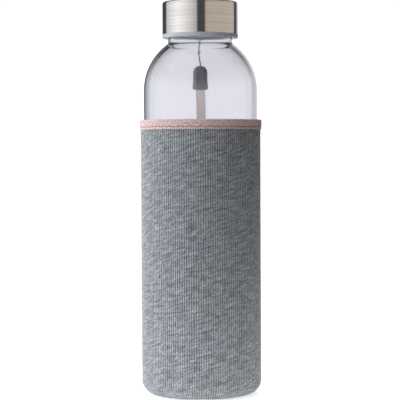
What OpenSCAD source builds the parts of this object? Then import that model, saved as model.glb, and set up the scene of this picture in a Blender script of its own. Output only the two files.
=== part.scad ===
// Glass water bottle with a steel screw cap, a padded knit sleeve and a wrist strap.
// Millimetres. The origin is on the ground under the middle of the sleeve, +Z is up,
// the front looks towards -Y and the strap hangs at +Y.

/* [Glass bottle] */
// Outside diameter of the glass body
body_d = 63.4; // [58:0.1:77]
// Height of the straight glass body, up to the middle of the round shoulder
body_h = 168.8; // [140:0.1:205]
// Thickness of the glass wall
glass_wall = 2; // [1.6:0.1:2.6]
// Thickness of the glass floor
glass_floor = 5; // [4:0.1:7]
// Depth of the hollow pressed up into the underside
punt_depth = 1.4; // [0.5:0.1:2]
// Radius of the hollow's rim, which the bottle stands on
punt_r = 23; // [19:0.5:24]
// Outside diameter of the neck
neck_d = 35.9; // [29:0.1:42]
// Thickness of the glass at the neck
neck_wall = 2.45; // [2:0.05:3.4]
// Height of the neck, from the shoulder to the rim
neck_h = 20.3; // [18:0.1:25]
// Radius that softens the corner where the neck meets the shoulder
throat_r = 1.2; // [0.6:0.1:2]
// Radius of the same corner inside the glass
throat_in_r = 1.2; // [1:0.1:4.5]
// Radius that softens the lip of the rim
lip_r = 0.9; // [0.4:0.1:1.1]

/* [Screw thread] */
// Height that the cap climbs in one turn
thread_pitch = 4.23; // [3.6:0.01:5.1]
// Number of turns of each thread
thread_turns = 1.5; // [1:0.1:1.8]
// How far a thread stands out of its wall
thread_depth = 1.15; // [0.9:0.05:1.4]
// Width of a thread at its wall
thread_base = 2.1; // [1.6:0.05:2.4]
// Width of a thread at its crest
thread_crest = 1; // [0.7:0.05:1.3]
// Distance from the rim down to the end of the glass thread
thread_drop = 4.2; // [3.8:0.1:5]
// Gap between a crest and the wall that it faces
thread_gap = 0.35; // [0.25:0.01:0.45]
// How far the cap's thread sits above the middle of the groove when the cap is tight
thread_bite = 0.4; // [0:0.05:0.45]

/* [Cap] */
// Thickness of the steel shell
shell_t = 0.4; // [0.3:0.05:0.8]
// Radius of the shell's upper edge
shell_edge_r = 1.2; // [0.8:0.1:2.4]
// Wall of the plastic insert behind its thread
insert_wall = 1.25; // [1:0.05:2]
// Thickness of the insert's roof
insert_roof = 1.2; // [0.8:0.1:2]
// Height of the whole cap
cap_h = 20.3; // [17:0.1:21]
// Height of the plastic rim that shows under the shell
flange_h = 2.1; // [1.6:0.1:3]
// How far that rim stands out past the shell
flange_lip = 0.15; // [0:0.05:0.4]
// Thickness of the seal
seal_t = 1.5; // [1:0.1:2.5]
// Width of the seal, which is a flat ring
seal_w = 5.2; // [4:0.1:7]
// Gap between the seal and the wall round it
seal_gap = 0.25; // [0.15:0.05:0.4]
// Gap left under and over the seal, so that the cap can turn on it
seat_gap = 0.02; // [0.01:0.01:0.05]

/* [Sleeve] */
// Height of the bare glass between the sleeve and the middle of the round shoulder
bare_glass_h = 14.8; // [10:0.1:30]
// Gap between the glass and the lining
sleeve_gap = 0.3; // [0.25:0.01:0.6]
// Thickness of the knitted face
face_t = 0.45; // [0.35:0.01:0.7]
// Thickness of the foam
foam_t = 1; // [0.8:0.05:2]
// Thickness of the lining
lining_t = 0.25; // [0.2:0.01:0.4]
// Outer radius of the corner at the foot
foot_r = 8; // [6:0.1:10]
// Radius of the seam that joins the base to the wall
base_seam_r = 24; // [20:0.5:25.5]

/* [Binding] */
// Height of the binding on the outside
binding_h = 5.5; // [4.5:0.1:9]
// Thickness of the binding tape
tape_t = 0.6; // [0.5:0.01:0.8]
// How far the layers are pressed in behind the tape
pinch = 0.5; // [0.4:0.01:0.55]
// Height of the slope where the layers swell out again
pinch_run = 1.5; // [1:0.1:3]
// Height of the stitch row above the lower edge of the tape
stitch_up = 1.4; // [1:0.1:2]

/* [Stitches] */
// Diameter of the sewing thread
thread_d = 0.3; // [0.2:0.02:0.4]
// Distance from one stitch to the next
stitch_step = 2.5; // [2:0.1:4]
// Part of that distance which the thread shows on top
stitch_share = 0.72; // [0.5:0.01:0.85]
// Width of the flat seam down the back
back_seam_w = 4; // [3:0.1:5]

/* [Strap] */
// Diameter of the cord round the neck
cord_d = 1; // [0.8:0.05:1.2]
// Gap between the cord and the neck
cord_gap = 0.3; // [0.2:0.05:0.5]
// How far the cord's ring sits up inside the cap
ring_up = 0.7; // [0.6:0.1:1.5]
// Radius of the cord's knot
knot_r = 1.2; // [1:0.05:1.4]
// Width of the connector
connector_w = 9.4; // [8:0.1:11]
// Depth of the connector
connector_deep = 6.8; // [5.5:0.1:7]
// Length of the connector
connector_h = 14.6; // [12:0.1:16]
// Width of the webbing
webbing_w = 5.7; // [5:0.1:7]
// Thickness of the webbing
webbing_t = 1.1; // [0.8:0.05:1.3]

/* [Hidden] */
$fn = 96;

// Radii, from the glass outwards
body_r = body_d / 2;
neck_r = neck_d / 2;
bore_r = neck_r - neck_wall;
lining_r = body_r + sleeve_gap;
foam_r = lining_r + lining_t;
face_in_r = foam_r + foam_t;
sleeve_r = face_in_r + face_t;
sleeve_t = sleeve_r - lining_r;
binding_r = sleeve_r + tape_t;
insert_in_r = neck_r + thread_depth + thread_gap;
insert_r = insert_in_r + insert_wall;
cap_r = insert_r + shell_t;

// Heights, from the ground up. The bottle stands on the base panel.
glass_z = sleeve_t;
ball_z = glass_z + body_h;
rim_z = ball_z + sqrt(body_r * body_r - neck_r * neck_r) + neck_h;
seal_z = rim_z + seat_gap;
roof_z = seal_z + seal_t + seat_gap;
cap_top_z = roof_z + insert_roof + shell_t;
cap_low_z = cap_top_z - cap_h;
shell_low_z = cap_low_z + flange_h;
thread_end_z = rim_z - thread_drop;
thread_z = thread_end_z - thread_turns * thread_pitch;
sleeve_h = body_h - bare_glass_h;
binding_low_z = sleeve_h - binding_h;
stitch_z = binding_low_z + stitch_up;

// Corner radii. The foot's corners share a centre line, so each layer keeps its thickness.
heel_r = foot_r - sleeve_t - sleeve_gap;
cord_r = cord_d / 2;
ring_r = neck_r + cord_gap + cord_r;
ring_z = cap_low_z + ring_up;
elbow_z = cap_low_z - cord_gap - cord_r;

// Stitches
groove_d = thread_d + 0.1;
stitch_len = stitch_step * stitch_share;

// The strap lies on the shoulder, so its places are angles above the shoulder's middle.
knot_a = 46.5;
connector_a = 15.35;
strap_gap = 0.3;
knot_reach = body_r + strap_gap + knot_r;
connector_reach = body_r + 0.4 + connector_deep / 2;
knot = [-0.8, knot_reach * cos(knot_a), ball_z + knot_reach * sin(knot_a)];
connector_y = connector_reach * cos(connector_a);
connector_z = ball_z + connector_reach * sin(connector_a);

// Route of the webbing, down behind the sleeve, round and back up: [x, y, z]
webbing_route = [
    [0, 35.45, 173.2], [0.2, 35.9, 166], [0.3, 36, 156], [0, 35.9, 145], [-0.2, 35.8, 130],
    [0, 35.8, 112], [0.2, 35.8, 94], [0, 35.8, 76], [0, 35.8, 60], [0, 35.9, 46],
    [0, 36.8, 41.6], [0, 39.3, 37.9], [0, 43, 35.4], [0, 47.4, 34.5], [0, 51.8, 35.4],
    [0, 55.5, 37.9], [0, 58, 41.6], [0, 58.9, 46], [0, 58.9, 54], [0, 58, 66],
    [0, 55.6, 82], [-0.2, 52, 100], [0, 48, 118], [0.2, 44.3, 134], [0.3, 41.3, 148],
    [0.2, 39, 160], [0, 37.5, 168], [0, 36.85, 172.8]];

// Half of an upright section with a rounded foot, from the axis out to r
module cup_section(r, low, high, corner) {
    translate([0, low]) square([r - corner, high - low]);
    translate([0, low + corner]) square([r, high - low - corner]);
    translate([r - corner, low + corner]) circle(corner);
}

// Area between an upright line at r and a ball on the axis, with a hollow corner
module throat_section(r, ball, z, corner) {
    rise = sqrt(pow(ball + corner, 2) - pow(r + corner, 2));
    touch = ball / (ball + corner);
    difference() {
        polygon([[r - 1, z + rise], [r + corner, z + rise],
            [(r + corner) * touch, z + rise * touch], [r - 1, z + rise * touch - 1]]);
        translate([r + corner, z + rise]) circle(corner);
    }
}

// Outline of the glass or of the space inside it, as half a section
module bottle_section(r, neck, throat, low, high, corner) {
    cup_section(r, low, ball_z, corner);
    intersection() {
        translate([0, ball_z]) circle(r);
        translate([0, ball_z]) square([r, r]);
    }
    translate([0, ball_z]) square([neck, high - ball_z]);
    throat_section(neck, r, ball_z, throat);
}

// Rounded lip, cut from a square rim between two radii
module lip_cut() {
    for (side = [0, 1]) mirror([side, 0]) translate([side ? -neck_r : bore_r, 0])
        difference() {
            translate([-1, rim_z - lip_r]) square([1 + lip_r, lip_r + 1]);
            translate([lip_r, rim_z - lip_r]) circle(lip_r);
            translate([lip_r, rim_z - lip_r]) square([1, 0.01]);
        }
}

// A ridge that winds up a wall. Its root is sunk into the wall and its ends fade out.
module thread_ridge(wall_r, depth, sunk, z) {
    steps = ceil(30 * thread_turns);
    turn = 360 * thread_turns / steps;
    fade = 4;
    slope = (thread_base - thread_crest) / 2 / abs(depth);
    way = sign(depth);
    function grown(i) = min(1, 0.15 + min(i, steps - i) / fade * 0.85);
    function tip(i) = wall_r + depth * grown(i);
    function ring(i) = let (c = z + i * turn / 360 * thread_pitch,
        root = thread_base / 2 + sunk * slope, crest = root - (sunk + abs(depth) * grown(i)) * slope)
        [for (p = [[wall_r - way * sunk, -root], [tip(i), -crest], [tip(i), crest],
                [wall_r - way * sunk, root]])
            [p[0] * cos(i * turn), p[0] * sin(i * turn), c + p[1]]];
    sweep([for (i = [0:steps]) ring(i)], way > 0);
}

// Closed skin over a row of rings that have the same number of points
module sweep(rings, flip = false) {
    n = len(rings[0]);
    last = (len(rings) - 1) * n;
    sides = [for (i = [0:len(rings) - 2], k = [0:n - 1]) let (a = i * n + k,
        b = i * n + (k + 1) % n) each [[a, b, a + n], [b, b + n, a + n]]];
    caps = [for (k = [1:n - 2]) each [[0, k + 1, k], [last, last + k, last + k + 1]]];
    faces = [for (f = concat(sides, caps)) flip ? [f[0], f[1], f[2]] : [f[0], f[2], f[1]]];
    polyhedron([for (r = rings) each r], faces);
}

// One straight stitch along X, resting on the plane z = 0
module stitch(length = stitch_len) {
    translate([-length / 2, 0, thread_d / 2]) rotate([0, 90, 0]) cylinder(length, d = thread_d,
        $fn = 16);
}

// Puts its children side by side round the axis, facing outwards at radius r and height z
module round_the_wall(count, r, z) {
    for (i = [0:count - 1]) rotate(i * 360 / count) translate([0, r, z]) rotate([-90, 0, 0])
        children();
}

module glass_bottle() {
    color([0.87, 0.9, 0.89, 0.45]) {
        rotate_extrude() difference() {
            bottle_section(body_r, neck_r, throat_r, glass_z, rim_z, heel_r);
            bottle_section(body_r - glass_wall, bore_r, throat_in_r, glass_z + glass_floor,
                rim_z + 1, heel_r);
            lip_cut();
            punt_section();
        }
        thread_ridge(neck_r, thread_depth, 0.6, thread_z);
    }
}

// Shallow round hollow under the glass, part of a large circle
module punt_section() {
    big = (punt_r * punt_r + punt_depth * punt_depth) / (2 * punt_depth);
    intersection() {
        translate([0, glass_z + punt_depth - big]) circle(big);
        translate([0, glass_z - 1]) square([punt_r + 1, punt_depth + 2]);
    }
}

module cap_shell() {
    color([0.75, 0.73, 0.7]) rotate_extrude() difference() {
        shell_section(cap_r, cap_top_z, shell_edge_r);
        shell_section(insert_r, cap_top_z - shell_t, shell_edge_r - shell_t);
    }
}

// Half section of a round lid with a soft upper edge
module shell_section(r, top, edge) {
    translate([0, shell_low_z]) square([r, top - edge - shell_low_z]);
    translate([0, top - edge - 0.5]) square([r - edge, edge + 0.5]);
    translate([r - edge, top - edge]) circle(edge);
}

module cap_insert() {
    color([0.72, 0.76, 0.8]) {
        rotate_extrude() difference() {
            union() {
                shell_section(insert_r, cap_top_z - shell_t, shell_edge_r - shell_t);
                translate([0, cap_low_z]) square([cap_r + flange_lip, flange_h]);
            }
            translate([0, cap_low_z - 1]) square([insert_in_r, roof_z - cap_low_z + 1]);
        }
        thread_ridge(insert_in_r, -thread_depth, 0.6, thread_z - thread_pitch / 2 + thread_bite);
    }
}

module cap_seal() {
    out_r = insert_in_r - seal_gap;
    color([0.85, 0.85, 0.83]) translate([0, 0, seal_z]) difference() {
        cylinder(seal_t, r = out_r);
        translate([0, 0, -1]) cylinder(seal_t + 2, r = out_r - seal_w);
    }
}

// Half section inside a layer's outer face: pinched at the top, open under the base seam
module layer_section(r, low, pinched) {
    corner = foot_r - (sleeve_r - r);
    top = sleeve_h - tape_t;
    slope_z = binding_low_z - pinch_run;
    cup_section(r, low, slope_z, corner);
    translate([0, slope_z - 0.1]) square([r, 0.1]);
    polygon([[0, slope_z], [r, slope_z], [pinched, binding_low_z], [pinched, top], [0, top]]);
}

// Distance from the outer face of the sleeve, with the layers pressed into less room
function pinched_r(depth) = sleeve_r - depth * (sleeve_t - pinch) / sleeve_t;

module sleeve_layer(out_depth, in_depth) {
    rotate_extrude() difference() {
        layer_section(sleeve_r - out_depth, out_depth, pinched_r(out_depth));
        layer_section(sleeve_r - in_depth, in_depth, pinched_r(in_depth));
        translate([0, -1]) square([base_seam_r, sleeve_t + 2]);
        if (out_depth == 0) seam_groove();
    }
}

// Groove under the base that the seam's stitches lie in
module seam_groove() {
    translate([base_seam_r - stitch_len / 2 - 0.4, -1]) square([stitch_len + 0.8, 1 + groove_d]);
}

module sleeve_face() {
    color([0.57, 0.59, 0.61]) difference() {
        sleeve_layer(0, face_t);
        back_seam_groove();
    }
}

module sleeve_foam() {
    color([0.25, 0.25, 0.27]) sleeve_layer(face_t, face_t + foam_t);
}

module sleeve_lining() {
    color([0.3, 0.3, 0.32]) sleeve_layer(face_t + foam_t, sleeve_t);
}

module base_panel() {
    color([0.5, 0.52, 0.54]) rotate_extrude() difference() {
        square([base_seam_r, sleeve_t]);
        seam_groove();
    }
}

module base_stitches() {
    count = round(2 * PI * base_seam_r / stitch_step);
    color([0.4, 0.42, 0.44]) for (i = [0:count - 1]) rotate(i * 360 / count)
        translate([0, base_seam_r, groove_d - thread_d]) rotate(90) stitch();
}

// Shallow channel down the back where the two edges of the sleeve are joined
module back_seam_groove() {
    translate([-back_seam_w / 2, sleeve_r - groove_d, foot_r])
        cube([back_seam_w, 5, binding_low_z - pinch_run - foot_r]);
}

module back_seam_stitches() {
    low = foot_r + stitch_step / 2;
    count = floor((binding_low_z - pinch_run - foot_r) / stitch_step) - 1;
    color([0.47, 0.49, 0.51]) for (i = [0:count])
        translate([0, sleeve_r - groove_d, low + i * stitch_step]) rotate([-90, 0, 0])
            stitch(back_seam_w - 0.6);
}

module top_binding() {
    color([0.86, 0.75, 0.73]) rotate_extrude() difference() {
        union() {
            translate([lining_r, binding_low_z + 0.5])
                square([binding_r - lining_r, binding_h - 0.5 - tape_t]);
            translate([sleeve_r, binding_low_z]) square([tape_t, binding_h - tape_t]);
            translate([lining_r + tape_t, sleeve_h - tape_t - 0.1])
                square([binding_r - lining_r - 2 * tape_t, tape_t + 0.1]);
            for (r = [lining_r + tape_t, binding_r - tape_t]) translate([r, sleeve_h - tape_t])
                circle(tape_t);
        }
        translate([lining_r + pinch, binding_low_z - 1])
            square([sleeve_t - pinch, binding_h + 1 - tape_t]);
        translate([binding_r - thread_d, stitch_z - thread_d]) square([tape_t, 2 * thread_d]);
    }
}

module binding_stitches() {
    count = round(2 * PI * binding_r / stitch_step);
    color([0.6, 0.5, 0.48]) round_the_wall(count, binding_r - thread_d, stitch_z) stitch();
}

// Ring of cord round the neck, hidden in the foot of the cap, with the short end that comes
// down out of the cap and goes to the knot
module neck_cord() {
    ring_y = sqrt(ring_r * ring_r - knot[0] * knot[0]);
    elbow = [knot[0], ring_y, elbow_z];
    color([0.66, 0.58, 0.55]) {
        rotate_extrude() translate([ring_r, ring_z]) circle(cord_r);
        rod([knot[0], ring_y, ring_z], elbow, 0.98 * cord_r);
        translate(elbow) sphere(1.04 * cord_r);
        rod(elbow, knot, cord_r);
        translate(knot) sphere(knot_r);
    }
}

// Straight round length of cord from one point to another
module rod(from, to, r) {
    way = to - from;
    translate(from) rotate([0, acos(way[2] / norm(way)), atan2(way[1], way[0])])
        cylinder(norm(way), r = r, $fn = 24);
}

// Top of the connector, where the cord goes in
connector_top = [0, connector_y - connector_h / 2 * sin(connector_a),
    connector_z + connector_h / 2 * cos(connector_a)];

module drop_cord() {
    way = (connector_top - knot) / norm(connector_top - knot);
    color([0.66, 0.58, 0.55]) rod(knot + way * (knot_r + 0.05), connector_top, cord_r);
}

// Moulded end piece: eight flats, a domed top and a wider skirt. It is moulded over the
// end of the cord and both ends of the webbing.
module strap_connector() {
    w = connector_w / 2;
    d = connector_deep / 2;
    half = connector_h / 2;
    cut = 1.9;
    waist = 0.35;
    skirt_h = 3.4;
    function flats(g) = [[w - g, d - cut - g / 2], [w - cut - g, d - g], [cut + g - w, d - g],
        [g - w, d - cut - g / 2], [g - w, cut + g / 2 - d], [cut + g - w, g - d],
        [w - cut - g, g - d], [w - g, cut + g / 2 - d]];
    color([0.37, 0.35, 0.38]) translate([0, connector_y, connector_z])
        rotate([connector_a, 0, 0]) union() {
            intersection() {
                translate([0, 0, skirt_h / 2 - half]) linear_extrude(connector_h)
                    polygon(flats(waist));
                translate([0, 0, -half]) rotate_extrude() union() {
                    square([w, connector_h - w]);
                    translate([0, connector_h - w]) intersection() {
                        circle(w);
                        square(w);
                    }
                }
            }
            translate([0, 0, -half]) linear_extrude(skirt_h) polygon(flats(0));
        }
}

// Flat section of the webbing with softened edges: [across, thick]
function webbing_section() = let (w = webbing_w / 2, t = webbing_t / 2, c = webbing_t / 4)
    [[w, t - c], [w - c, t], [c - w, t], [-w, t - c], [-w, c - t], [c - w, -t], [w - c, -t],
        [w, c - t]];

module strap_webbing() {
    route = webbing_route;
    last = len(route) - 1;
    function along(i) = let (way = route[min(i + 1, last)] - route[max(i - 1, 0)])
        way / norm(way);
    function ring(i) = let (way = along(i), out = cross([1, 0, 0], way))
        [for (p = webbing_section()) route[i] + p[0] * [1, 0, 0] + p[1] * out / norm(out)];
    color([0.84, 0.8, 0.79]) sweep([for (i = [0:last]) ring(i)], true);
}

glass_bottle();
cap_shell();
cap_insert();
cap_seal();
sleeve_face();
sleeve_foam();
sleeve_lining();
base_panel();
base_stitches();
back_seam_stitches();
top_binding();
binding_stitches();
neck_cord();
drop_cord();
strap_connector();
strap_webbing();
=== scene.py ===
# %% [markdown]
# # A glass water bottle in a knitted sleeve
# The CAD model holds every size and joint of this bottle. This lesson dresses it: each visible
# piece is built again as a fine mesh in the same place, and gets a finish made from nodes.
# It starts by loading the CAD model as a fixed frame and noting its box, because the finished
# pieces have to stay inside that box.

# %% Load the frame
import math

import bmesh
import bpy
import numpy as np
from mathutils import Matrix, Vector


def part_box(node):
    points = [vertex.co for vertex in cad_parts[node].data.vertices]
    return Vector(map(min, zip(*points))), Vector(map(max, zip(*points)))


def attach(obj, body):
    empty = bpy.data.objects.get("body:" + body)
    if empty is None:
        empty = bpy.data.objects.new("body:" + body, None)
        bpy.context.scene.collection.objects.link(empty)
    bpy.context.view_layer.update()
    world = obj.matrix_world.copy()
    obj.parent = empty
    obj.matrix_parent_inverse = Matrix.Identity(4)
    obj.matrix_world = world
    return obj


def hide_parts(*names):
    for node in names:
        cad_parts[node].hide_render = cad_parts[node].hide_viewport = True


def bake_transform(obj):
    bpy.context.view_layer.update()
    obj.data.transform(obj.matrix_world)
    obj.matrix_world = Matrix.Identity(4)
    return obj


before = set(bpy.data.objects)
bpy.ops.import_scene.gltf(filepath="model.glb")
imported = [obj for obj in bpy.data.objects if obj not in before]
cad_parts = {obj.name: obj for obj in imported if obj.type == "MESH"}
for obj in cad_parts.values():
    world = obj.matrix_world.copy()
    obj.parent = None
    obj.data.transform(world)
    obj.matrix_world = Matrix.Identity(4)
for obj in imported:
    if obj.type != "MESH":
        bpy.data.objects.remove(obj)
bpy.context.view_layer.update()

# %% [markdown]
# ## Sizes
# Everything is drawn in millimetres and turned to metres when a mesh is made. Heights and outer
# radii are read from the boxes of the CAD nodes. The few inner sizes that a box can't tell, such
# as a wall or a corner radius, are named here.

# %% Sizes of the bottle, the cap and the sleeve
MM = 0.001


def box_mm(node):
    """Lowest and highest corner of a CAD node, in millimetres."""
    return [np.array(corner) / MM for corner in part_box(node)]


glass_low, glass_high = box_mm("glass_bottle")
shell_low, shell_high = box_mm("cap_shell")
liner_low, liner_high = box_mm("cap_insert")
face_high = box_mm("sleeve_face")[1]
tape_low, tape_high = box_mm("top_binding")

BODY_R = glass_high[0]
GLASS_Z, RIM_Z = glass_low[2], glass_high[2]
GLASS_WALL, GLASS_FLOOR = 2.0, 5.0
NECK_R, BORE_R, NECK_H = 17.95, 15.5, 20.3
HEEL_R, THROAT_R, THROAT_IN_R, LIP_R = 6.0, 1.2, 1.2, 0.9
PUNT_R, PUNT_DEPTH = 23.0, 1.4
BALL_Z = RIM_Z - NECK_H - math.sqrt(BODY_R**2 - NECK_R**2)
THREAD_PITCH, THREAD_TURNS, THREAD_DEPTH = 4.23, 1.5, 1.15
THREAD_BASE, THREAD_CREST, THREAD_BITE = 2.1, 1.0, 0.4
THREAD_DROP = 4.2
THREAD_Z = RIM_Z - THREAD_DROP - THREAD_TURNS * THREAD_PITCH
SLEEVE_R, SLEEVE_T, FACE_T = face_high[0], 1.7, 0.45
TAPE_R, TAPE_T = tape_high[0], 0.6
TAPE_Z, SLEEVE_H = tape_low[2], tape_high[2]
FOOT_R, BASE_SEAM_R = 8.0, 24.0
SEAM_W, SEAM_DEPTH = 4.0, 0.4
print(f"glass {2 * BODY_R:.1f} across, shoulder at {BALL_Z:.1f}, rim at {RIM_Z:.1f} mm")

# %% [markdown]
# ## Camera
# The bottle is looked at from 0.9 m away with a long lens, so its sides stay almost parallel. The
# lens is lower than the binding, so it looks up at the cap and down at the foot, and the bottle
# fills the frame from top to bottom.

# %% Camera
CAMERA_AT = Vector((-0.0005, -0.901, 0.136))
TIPPED_DOWN, ROLLED = 1.72, -0.27
FOCAL_LENGTH, SENSOR_W = 144, 36

lens = bpy.data.cameras.new("long_lens")
lens.lens, lens.sensor_width = FOCAL_LENGTH, SENSOR_W
lens.clip_start, lens.clip_end = 0.05, 50
camera = bpy.data.objects.new("camera", lens)
camera.matrix_world = (
    Matrix.Translation(CAMERA_AT)
    @ Matrix.Rotation(math.radians(90 - TIPPED_DOWN), 4, "X")
    @ Matrix.Rotation(math.radians(ROLLED), 4, "Z")
)
bpy.context.scene.collection.objects.link(camera)
bpy.context.scene.camera = camera
print("camera at", tuple(round(v, 3) for v in CAMERA_AT), "with a lens of", FOCAL_LENGTH, "mm")

# %% [markdown]
# ## Drawing helpers
# Nearly every piece is a skin over a grid of points: rows of rings for things turned round an
# axis, or rings along a line for cords. One function makes the mesh, another turns an outline
# round the axis, and short ones draw arcs and straight runs for the outlines.


# %% Helpers that make meshes
def make_piece(name, grid, wrap_rows=True, uv=None):
    """A mesh over a grid of points in mm. Columns always wrap round; rows may too."""
    rows, cols = grid.shape[:2]
    index = np.arange(rows * cols).reshape(rows, cols)
    low, high = (index, np.roll(index, -1, 0)) if wrap_rows else (index[:-1], index[1:])
    faces = np.stack([low, np.roll(low, -1, 1), np.roll(high, -1, 1), high], -1).reshape(-1, 4)
    mesh = bpy.data.meshes.new(name)
    mesh.from_pydata((grid.reshape(-1, 3) * MM).tolist(), [], faces.tolist())
    if uv is not None:
        layer = mesh.uv_layers.new(name="yarn")
        last_col = (faces % cols)[:, 1] == 0
        at = uv.reshape(-1, 2)[faces]
        at[last_col, 1:3, 0] += uv[0, 1, 0] * cols - uv[0, 0, 0] * cols
        layer.data.foreach_set("uv", at.astype(np.float32).ravel())
    return finish_mesh(name, mesh)


def finish_mesh(name, mesh):
    """Welds points that coincide, makes the faces look outwards, and smooths the shading."""
    work = bmesh.new()
    work.from_mesh(mesh)
    bmesh.ops.remove_doubles(work, verts=work.verts, dist=2e-7)
    bmesh.ops.recalc_face_normals(work, faces=work.faces)
    work.to_mesh(mesh)
    work.free()
    mesh.shade_smooth()
    piece = bpy.data.objects.new(name, mesh)
    bpy.context.scene.collection.objects.link(piece)
    return piece


def arc(centre_r, centre_z, radius, start, stop, steps):
    """Points on part of a circle in the (radius, height) plane, with angles in degrees."""
    turn = np.radians(np.linspace(start, stop, steps + 1))
    return list(zip(centre_r + radius * np.cos(turn), centre_z + radius * np.sin(turn)))


def run(start, stop, steps):
    """Points along a straight run, without its last one."""
    return [tuple(p) for p in np.linspace(start, stop, steps, endpoint=False)]


def turned(outline, around):
    """Turns an outline of (radius, height) points round the axis, into a grid of points."""
    outline = np.array(outline)
    angle = np.linspace(0, 2 * np.pi, around, endpoint=False)
    r, z = outline[:, :1], outline[:, 1:]
    return np.stack([r * np.cos(angle), r * np.sin(angle), z + 0 * angle], -1)


def wear(piece, body, slot, material, *nodes):
    """Puts a finish on a piece, makes it move with a body, and hides the CAD nodes it stands for."""
    piece.data.materials.clear()
    piece.data.materials.append(material)
    if body:
        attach(piece, body)
    if nodes:
        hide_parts(*nodes)
    faces = len(piece.data.polygons)
    print(f"{piece.name}: {faces} faces, {material.name}")
    return piece


# %% [markdown]
# ## Node helpers
# A finish is a small tree of nodes. One function turns a screen colour into the linear colour
# that the renderer works with, one adds a node with its settings and links, and one starts a
# material with its shader.


# %% Helpers that make finishes
def colour(hex_code):
    """An sRGB hex colour as linear red, green, blue and alpha."""
    parts = [int(hex_code[i : i + 2], 16) / 255 for i in (1, 3, 5)]
    return [c / 12.92 if c <= 0.04045 else ((c + 0.055) / 1.055) ** 2.4 for c in parts] + [1.0]


def add_node(tree, kind, inputs=None, stops=None, **settings):
    """Adds a node. A socket among the inputs is linked, and any other value is set."""
    node = tree.nodes.new(kind)
    for name, value in settings.items():
        setattr(node, name, value)
    for name, value in (inputs or {}).items():
        if isinstance(value, bpy.types.NodeSocket):
            tree.links.new(value, node.inputs[name])
        else:
            node.inputs[name].default_value = value
    if stops:
        ramp = node.color_ramp.elements
        while len(ramp) < len(stops):
            ramp.new(0.5)
        for element, (place, code) in zip(ramp, stops):
            element.position, element.color = place, colour(code)
    return node


def new_finish(name, **sockets):
    """A material with a Principled shader. Returns the material, its tree and its shader."""
    material = bpy.data.materials.new(name)
    material.use_nodes = True
    tree = material.node_tree
    shader = tree.nodes["Principled BSDF"]
    for socket, value in sockets.items():
        shader.inputs[socket.replace("_", " ")].default_value = value
    return material, tree, shader


def maths(tree, operation, *values):
    """A Math node's result, which keeps a long sum short to write."""
    return add_node(tree, "ShaderNodeMath", dict(enumerate(values)), operation=operation).outputs[0]


# %% [markdown]
# ## The strap's cord
# A thin waxed cord runs once round the neck under the cap, is tied, and drops through a knot
# to a moulded connector. It is three strands twisted together. A curve with a round bevel would
# show no strands, so a tube with three lobes that turn as they go is swept along the cord's line.
# The knot is where the strap swings.

# %% Lines for cords
RING_R, RING_Z = 18.75, liner_low[2] + 0.7
KNOT = np.array((-0.8, 22.853, 194.582))
CONNECTOR_AT = np.array((0, 34.234, 179.897))
CONNECTOR_TILT = 15.35
CONNECTOR_W, CONNECTOR_DEEP, CONNECTOR_H = 9.4, 6.8, 14.6
CORD_D = 1.0


def smooth_line(points, step):
    """A smooth line through given points, with a point about every step mm."""
    points = np.array(points, float)
    ends = 2 * points[[0, -1]] - points[[1, -2]]
    p = np.vstack([ends[:1], points, ends[1:]])
    line = []
    for a, b, c, d in zip(p, p[1:], p[2:], p[3:]):
        n = max(2, int(np.linalg.norm(c - b) / step))
        t = np.linspace(0, 1, n, endpoint=False)[:, None]
        line.append(0.5 * (2 * b + (c - a) * t + (2 * a - 5 * b + 4 * c - d) * t**2
                           + (3 * b - a - 3 * c + d) * t**3))
    return np.vstack(line + [points[-1:]])


def step_lengths(line):
    """Length of each step of a line."""
    return np.linalg.norm(np.diff(line, axis=0), axis=1)


def swept(line, section, across):
    """Carries a section along a line. section(along_mm) gives points (across, out) per ring."""
    ahead = np.gradient(line, axis=0)
    ahead /= np.linalg.norm(ahead, axis=1)[:, None]
    side = np.zeros_like(ahead)
    side[0] = across
    for i in range(len(line)):
        last = side[max(i - 1, 0)]
        free = last - ahead[i] * np.dot(last, ahead[i])
        side[i] = free / np.linalg.norm(free)
    out = np.cross(side, ahead)
    along = np.concatenate([[0], np.cumsum(step_lengths(line))])
    flat = np.array([section(s) for s in along])
    return (line[:, None] + flat[..., :1] * side[:, None] + flat[..., 1:] * out[:, None]), along


def twisted_strands(diameter, strands, lay, sides=12):
    """Section of a cord of twisted strands that make one turn every lay mm."""
    angle = np.linspace(0, 2 * np.pi, sides, endpoint=False)

    def section(along):
        lobes = 1 - 0.1 * (1 - np.cos(strands * (angle - 2 * np.pi * along / lay)))
        return np.stack([np.cos(angle), np.sin(angle)], 1) * (diameter / 2 * lobes)[:, None]

    return section


def close_ends(grid):
    """Adds a point in the middle of each end, so that a tube is closed."""
    first, last = grid[:1].mean(1, keepdims=True), grid[-1:].mean(1, keepdims=True)
    spread = np.ones((1, grid.shape[1], 1))
    return np.vstack([first * spread, grid, last * spread])


ring_turns = np.radians(np.linspace(91, 360 + 82, 60))
ring_line = [(RING_R * math.cos(a), RING_R * math.sin(a), RING_Z) for a in ring_turns]
connector_top = CONNECTOR_AT + CONNECTOR_H / 2 * np.array(
    (0, -math.sin(math.radians(CONNECTOR_TILT)), math.cos(math.radians(CONNECTOR_TILT))))
cord_route = ring_line + [
    (1.1, 18.74, 200.15), (-0.1, 18.75, 199.3), (-0.6, 19.25, 198.45), (-0.8, 20.55, 197.0), KNOT,
    (-0.7, 25.2, 192.4), (-0.35, 28.4, 190.1), (-0.05, 30.8, 188.3), connector_top]
cord_line = smooth_line(cord_route, 0.45)
print(f"cord: {step_lengths(cord_line).sum():.1f} mm of {CORD_D} mm cord")

# %% Waxed cord
waxed_cord, tree, shader = new_finish("waxed_polyester_cord", Roughness=0.5, Sheen_Weight=0.3)
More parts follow.
